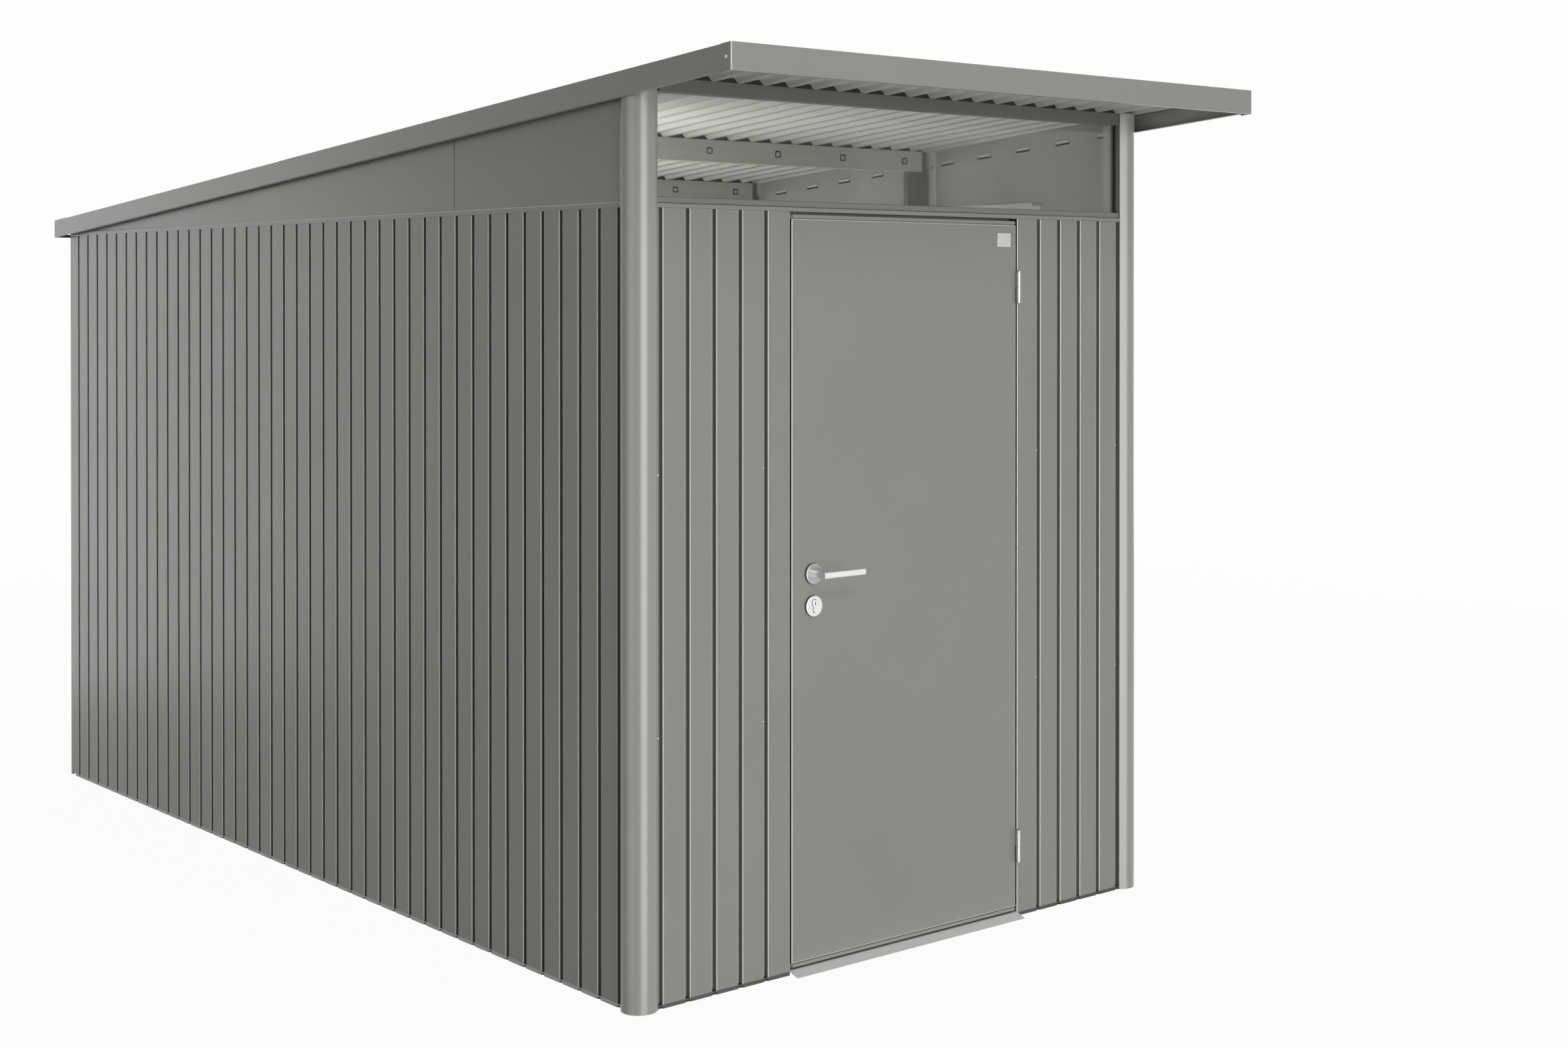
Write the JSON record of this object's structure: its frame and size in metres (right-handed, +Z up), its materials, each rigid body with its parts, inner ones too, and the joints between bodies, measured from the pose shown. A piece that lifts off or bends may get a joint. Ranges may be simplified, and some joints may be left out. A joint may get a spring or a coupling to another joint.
{
  "type": "metal storage shed",
  "caption": "Metal storage shed with vertically grooved walls, round front posts, a window strip, a ribbed mono-pitch roof with fascias and a hinged door with a lever handle.",
  "frame": {"origin": "on the ground under the middle of the roof's outline", "axes": "+Z up, the front with the door faces -Y, +X to the right of someone who faces the door"},
  "size_m": [1.8, 3.8, 2.2254],
  "materials": {
    "wall_paint": "satin metallic grey coil coating",
    "frame_paint": "satin metallic grey coating",
    "inner_sheet": "matt grey back coat",
    "roof_sheet": "matt pale grey back coat",
    "bare_aluminium": "mill finish extruded aluminium",
    "satin_steel": "satin stainless steel",
    "lock_metal": "satin nickel",
    "clear_pane": "clear acrylic pane"
  },
  "bodies": {
    "shed": {"left_wall": "wall_paint", "right_wall": "wall_paint", "rear_wall": "wall_paint", "front_panel_left": "wall_paint", "front_panel_right": "wall_paint", "eaves_rail_left": "wall_paint", "eaves_rail_right": "wall_paint", "eaves_rail_rear": "wall_paint", "header_rail_front": "wall_paint", "gable_left_front": "wall_paint", "gable_left_rear": "wall_paint", "gable_right_front": "wall_paint", "gable_right_rear": "wall_paint", "rear_roof_beam": "wall_paint", "fascia_front": "wall_paint", "fascia_left": "wall_paint", "fascia_right": "wall_paint", "fascia_rear": "wall_paint", "corner_post_left": "frame_paint", "corner_post_right": "frame_paint", "door_jambs": "frame_paint", "door_head": "frame_paint", "window_sill": "frame_paint", "window_side_frames": "frame_paint", "front_roof_beam": "frame_paint", "roof_beam_front": "inner_sheet", "roof_beam_middle": "inner_sheet", "roof_beam_rear": "inner_sheet", "wall_columns_left": "inner_sheet", "wall_columns_right": "inner_sheet", "gable_strips": "inner_sheet", "tool_rail": "inner_sheet", "roof_sheet_front": "roof_sheet", "roof_sheet_rear": "roof_sheet", "base_rail_left": "bare_aluminium", "base_rail_right": "bare_aluminium", "base_rail_rear": "bare_aluminium", "base_rails_front": "bare_aluminium", "door_threshold": "bare_aluminium", "hinge_knuckles_frame": "satin_steel", "window_pane": "clear_pane"},
    "door": {"door_leaf": "wall_paint", "door_inner_panel": "inner_sheet", "lock_faceplate": "satin_steel", "door_roses_outer": "satin_steel", "door_roses_inner": "satin_steel", "lock_cylinder": "lock_metal", "hinge_knuckles_door": "satin_steel"},
    "lever": {"lever_handle": "satin_steel"}
  },
  "joints": [
    {"name": "door_hinge", "type": "hinge", "parent": "shed", "child": "door", "pos_m": [0.3945, -1.5175, 0.9425], "axis": [0, 0, 1], "range_deg": [0, 110]},
    {"name": "lever_turn", "type": "hinge", "parent": "door", "child": "lever", "pos_m": [-0.33, -1.51, 0.983], "axis": [0, 1, 0], "range_deg": [0, 40], "stiffness_Nm_per_rad": 1.5, "springref_deg": -34.38}
  ]
}
